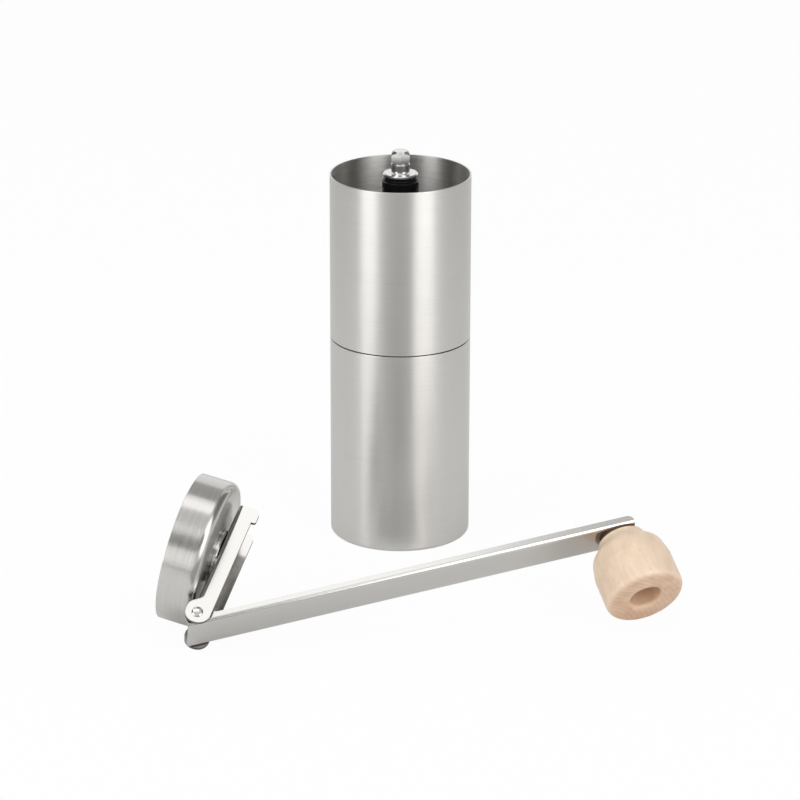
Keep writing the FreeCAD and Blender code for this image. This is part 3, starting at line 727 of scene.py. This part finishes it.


# Knob and its axle: the grip that turns on the end of the arm.
# Turned from pale beech along the grain, sanded and waxed, with a deep hole over the axle's head.
# A plastic washer and bush keep the wood off the steel; their dark brown is painted shade of the
# gap.
knob_place = placed(joint_vector("knob_spin", "pos_m"), hinge_axis, knob_axis)
pith = (-0.021, -0.017, 0)
ring_pitch = 0.0019
ring_wander = 0.7
wander_scale = 70.0
ring_lean = 0.03
ring_floor = 0.1
ring_peak = 0.82
side_ring_share = 0.1
end_ring_share = 0.26
cloud_size = (0.004, 0.004, 0.009)
fibre_size = (0.00045, 0.00045, 0.012)
fleck_size = (0.00025, 0.00025, 0.0017)
side_facing, end_facing = 0.5, 0.98
# Painted shade in the knob's hole: the radius where it starts, its fade and its share.
bore_radius = 0.0062
bore_fade = 0.0006
bore_shade_share = 0.6
smooth_wood, rough_wood = 0.38, 0.55
pore_depth = 1.5e-5


def beech_wood(name, early, late, end_early, end_late, bore_shade):
    """Beech with faint growth rings about a pith beside the piece, fibres along the grain, and
    painted shade in its bore.
    """
    material = new_material(name, Specular_IOR_Level=0.4, Coat_Weight=0.25, Coat_Roughness=0.24)
    tree = material.node_tree
    place = add_node(tree, "ShaderNodeTexCoord")
    own = add_node(tree, "ShaderNodeMapping", {
        "Vector": (place, "Object"), "Location": knob_place.to_translation(),
        "Rotation": knob_place.to_euler(),
    }, vector_type="TEXTURE")

    def streaks(size, low, high, share):
        """Share of a noise that is drawn out along the grain."""
        drawn = add_node(tree, "ShaderNodeMapping", {
            "Vector": (own, "Vector"), "Scale": [1 / length for length in size],
        })
        noise = add_node(tree, "ShaderNodeTexNoise", {
            "Vector": (drawn, "Vector"), "Scale": 1.0, "Detail": 3.0, "Roughness": 0.55,
        })
        return add_node(tree, "ShaderNodeMapRange", {
            "Value": (noise, 0), "From Min": low, "From Max": high, "To Min": 0.0, "To Max": share,
        })

    def with_rings(share):
        """Tone of the wood, with its rings at a share of their strength."""
        return add_node(tree, "ShaderNodeMath", {
            0: (ring, 0), 1: share, 2: (lines, 0),
        }, operation="MULTIPLY_ADD", use_clamp=True)

    def mixed(share, first, second):
        """Blend of two colours."""
        return add_node(tree, "ShaderNodeMix", {
            0: (share, 0), 6: first, 7: second,
        }, data_type="RGBA")

    wander = add_node(tree, "ShaderNodeTexNoise", {
        "Vector": (own, "Vector"), "Scale": wander_scale, "Detail": 2.0,
    })
    drift = add_node(tree, "ShaderNodeMath", {
        0: (wander, 0), 1: ring_wander,
    }, operation="MULTIPLY")
    across = add_node(tree, "ShaderNodeMapping", {
        "Vector": (own, "Vector"), "Location": [-value for value in pith],
        "Scale": (1, 1, ring_lean),
    })
    reach = add_node(tree, "ShaderNodeVectorMath", {0: (across, "Vector")}, operation="LENGTH")
    count = add_node(tree, "ShaderNodeMath", {
        0: (reach, "Value"), 1: 1 / ring_pitch, 2: (drift, 0),
    }, operation="MULTIPLY_ADD")
    year = add_node(tree, "ShaderNodeMath", {0: (count, 0)}, operation="FRACT")
    ring = add_node(tree, "ShaderNodeValToRGB", {0: (year, 0)})
    for stop in ring.color_ramp.elements:
        stop.color = (ring_floor, ring_floor, ring_floor, 1)
    ring.color_ramp.elements.new(ring_peak).color = (1, 1, 1, 1)
    cloud = streaks(cloud_size, low=0.35, high=0.7, share=0.4)
    fibre = streaks(fibre_size, low=0.3, high=0.75, share=0.2)
    fleck = streaks(fleck_size, low=0.58, high=0.72, share=0.5)
    fine = add_node(tree, "ShaderNodeMath", {0: (fibre, 0), 1: (fleck, 0)}, operation="ADD")
    lines = add_node(tree, "ShaderNodeMath", {0: (fine, 0), 1: (cloud, 0)}, operation="ADD")
    tone = with_rings(side_ring_share)
    side_grain = mixed(tone, (*early, 1), (*late, 1))
    end_grain = mixed(with_rings(end_ring_share), (*end_early, 1), (*end_late, 1))
    facing = add_node(tree, "ShaderNodeVectorMath", {
        0: (place, "Normal"), 1: knob_axis,
    }, operation="DOT_PRODUCT")
    cut = add_node(tree, "ShaderNodeMapRange", {
        "Value": (facing, "Value"), "From Min": side_facing, "From Max": end_facing,
        "To Min": 0.0, "To Max": 1.0,
    })
    skin = mixed(cut, (side_grain, 2), (end_grain, 2))
    flat = add_node(tree, "ShaderNodeMapping", {"Vector": (own, "Vector"), "Scale": (1, 1, 0)})
    radius = add_node(tree, "ShaderNodeVectorMath", {0: (flat, "Vector")}, operation="LENGTH")
    # Painted shade: inside the bore's radius the wood turns a darker brown, the shade of the hole.
    inside = add_node(tree, "ShaderNodeMapRange", {
        "Value": (radius, "Value"), "From Min": bore_radius, "From Max": bore_radius + bore_fade,
        "To Min": bore_shade_share, "To Max": 0.0,
    })
    wall = mixed(inside, (skin, 2), (*bore_shade, 1))
    gloss = add_node(tree, "ShaderNodeMapRange", {
        "Value": (tone, 0), "To Min": smooth_wood, "To Max": rough_wood,
    })
    bump = add_node(tree, "ShaderNodeBump", {
        "Height": (fine, 0), "Strength": 1.0, "Distance": -pore_depth,
    })
    feed(material, Base_Color=(wall, 2), Roughness=(gloss, 0), Normal=(bump, 0))
    return material


# bore_shade is the painted shade of the hole's wall.
beech = beech_wood(
    "pale_beech", early=(0.86, 0.69, 0.525), late=(0.68, 0.485, 0.33),
    end_early=(0.76, 0.56, 0.41), end_late=(0.52, 0.31, 0.19), bore_shade=(0.76, 0.50, 0.325),
)
coat(beech, "knob")
# Painted shade: the washer's dark brown stands for the shadow in the gap under the knob.
gap_shade_plastic = moulded(
    "gap_shade_brown_plastic", colour=(0.10, 0.055, 0.032), roughness=0.45,
    grain=mould_grain, relief=3e-6,
)
coat(gap_shade_plastic, "knob_washer", "knob_bush")
coat(dull_steel, "knob_axle")


# Table and room: a wide white top in a white room. Neither belongs to the object.
# The camera sees the white of the room through the top, with the object's faint shadow on it.
table_half = 4.0
table_drop = 0.00003
table_white = (0.9, 0.9, 0.9, 1)
table_seen = 0.96
table_mirrored = 0.05
room_light = 0.6
room_seen = 1.0
room_mirrored = 0.95


def seen_straight(tree, plain, mirrored):
    """Level of rays straight from the camera, and another of those by a mirror or a clear pane."""
    path = add_node(tree, "ShaderNodeLightPath")
    by_mirror = add_node(tree, "ShaderNodeMath", {
        0: (path, "Is Glossy Ray"), 1: (path, "Is Transmission Ray"),
    }, operation="MAXIMUM")
    level = add_node(tree, "ShaderNodeMath", {
        0: (by_mirror, 0), 1: mirrored,
    }, operation="MULTIPLY")
    return add_node(tree, "ShaderNodeMath", {
        0: (path, "Is Camera Ray"), 1: plain, 2: (level, 0),
    }, operation="MULTIPLY_ADD")


def bare_material(name):
    """Node material with no shader yet."""
    material = bpy.data.materials.new(name)
    material.use_nodes = True
    material.node_tree.nodes.clear()
    return material


def white_top(name):
    """White matte top with a faint glow in mirrors, which the camera sees through."""
    material = bare_material(name)
    tree = material.node_tree
    matte = add_node(tree, "ShaderNodeBsdfDiffuse", {"Color": table_white})
    glow = add_node(tree, "ShaderNodeEmission", {"Strength": 1.0})
    clear = add_node(tree, "ShaderNodeBsdfTransparent")
    glowing = add_node(tree, "ShaderNodeMixShader", {
        "Fac": (seen_straight(tree, 0.0, table_mirrored), 0), 1: (matte, 0), 2: (glow, 0),
    })
    top = add_node(tree, "ShaderNodeMixShader", {
        "Fac": (seen_straight(tree, table_seen, 0.0), 0), 1: (glowing, 0), 2: (clear, 0),
    })
    add_node(tree, "ShaderNodeOutputMaterial", {"Surface": (top, 0)})
    return material


def plain_sheet(name, corners, material):
    """Flat piece of the studio with four corners."""
    mesh = bpy.data.meshes.new(name)
    mesh.from_pydata(corners, [], [(0, 1, 2, 3)])
    mesh.materials.append(material)
    sheet = set_out(name, mesh)
    return sheet


def level_at(height, *corners):
    """Corners of a sheet that lies level."""
    return [(*corner, height) for corner in corners]


plain_sheet("table", level_at(
    -table_drop, (-table_half, -table_half), (table_half, -table_half),
    (table_half, table_half), (-table_half, table_half),
), white_top("white_table"))

world = bpy.data.worlds.new("studio")
bpy.context.scene.world = world
world.use_nodes = True
room = world.node_tree.nodes["Background"]
room.inputs["Color"].default_value = (1, 1, 1, 1)
room_straight = seen_straight(world.node_tree, room_seen - room_light, room_mirrored - room_light)
room_level = add_node(world.node_tree, "ShaderNodeMath", {
    0: (room_straight, 0), 1: room_light,
}, operation="ADD")
world.node_tree.links.new(room_level.outputs[0], room.inputs["Strength"])


# Lamps and cards: three soft boxes, and grey cards that the steel mirrors as its darker bands.
# Mirrored rays alone see the cards, which cast no shadow. None of them belongs to the object.
wall_reach = 0.75
wall_foot = 0.15
wall_near, wall_far = -0.3, 0.9
ceiling = 1.6
ceiling_near, ceiling_middle, ceiling_far = -2, 0.2, 2
card_lift = 0.001


def soft_box(name, place, target, width, height, radiance):
    """Rectangular soft light that faces a point, with a steady brightness over its face."""
    light = bpy.data.lights.new(name, "AREA")
    light.shape = "RECTANGLE"
    light.size = width
    light.size_y = height
    light.energy = radiance * math.pi * width * height
    box = set_out(name, light)
    box.location = place
    facing = Vector(target) - Vector(place)
    box.rotation_euler = facing.to_track_quat("-Z", "Y").to_euler()
    box.visible_camera = False


def grey_card(name, level, corners):
    """Card that darkens what the metal mirrors, and that nothing else sees."""
    material = bare_material(name)
    glow = add_node(material.node_tree, "ShaderNodeEmission", {"Strength": level})
    add_node(material.node_tree, "ShaderNodeOutputMaterial", {"Surface": (glow, 0)})
    card = plain_sheet(name, corners, material)
    card.visible_camera = False
    card.visible_diffuse = False
    card.visible_shadow = False
    card.visible_transmission = False


def standing(start, end, low, high):
    """Corners of an upright card over the line between two points of the table."""
    return [(*start, low), (*end, low), (*end, high), (*start, high)]


soft_box(
    "top_light", place=(-0.185, 0.03, 1.2), target=(-0.185, 0.03, 0),
    width=0.77, height=0.5, radiance=0.92,
)
soft_box(
    "left_light", place=(-0.615, -0.51, 0.45), target=(0, 0, 0.2),
    width=0.44, height=0.9, radiance=1.9,
)
soft_box(
    "right_light", place=(0.50, -0.62, 0.45), target=(0, 0, 0.2),
    width=0.5, height=0.9, radiance=1.9,
)
grey_card("front_card", 0.2, standing((-0.5, -0.6), (0.3, -0.6), low=0.25, high=0.52))
grey_card("low_card", 0.65, standing((-0.12, -0.62), (0.24, -0.62), low=0, high=0.25))
grey_card("far_floor_card", 0.6, level_at(
    card_lift, (-0.19, -0.62), (0.20, -0.62), (0.14, -0.42), (-0.17, -0.42),
))
grey_card("front_floor_card", 0.42, level_at(
    card_lift, (-0.26, -0.42), (0.14, -0.42), (0.05, -0.15), (-0.06, -0.15),
))
grey_card("near_floor_card", 0.42, level_at(
    card_lift, (-0.04, -0.085), (0.03, -0.085), (0.016, -0.035), (-0.018, -0.035),
))
for name, level, side in [
    ("left_card", 0.12, -wall_reach),
    ("right_card", 0.2, wall_reach),
]:
    grey_card(name, level, standing((side, wall_near), (side, wall_far), wall_foot, ceiling))
for name, level, near, far in [
    ("ceiling_card", 0.7, ceiling_near, ceiling_middle),
    ("back_ceiling_card", 0.45, ceiling_middle, ceiling_far),
]:
    grey_card(name, level, level_at(
        ceiling, (-wall_reach, near), (-wall_reach, far), (wall_reach, far), (wall_reach, near),
    ))


# Camera: stands where the photograph was taken from, and looks a little down on the object.
# A long lens keeps the sides of the body nearly upright.
view_pitch = math.radians(19.55)
view_roll = 0.002
camera_data = bpy.data.cameras.new("photo_view")
camera_data.sensor_width = 36.0
camera_data.lens = 166.5
camera = set_out("photo_view", camera_data)
camera.location = (-0.00003, -1.3796, 0.54375)
tilt = Matrix.Rotation(math.pi / 2 - view_pitch, 4, "X") @ Matrix.Rotation(view_roll, 4, "Z")
camera.rotation_euler = tilt.to_euler()
bpy.context.scene.camera = camera
bpy.context.scene.view_settings.view_transform = "Standard"
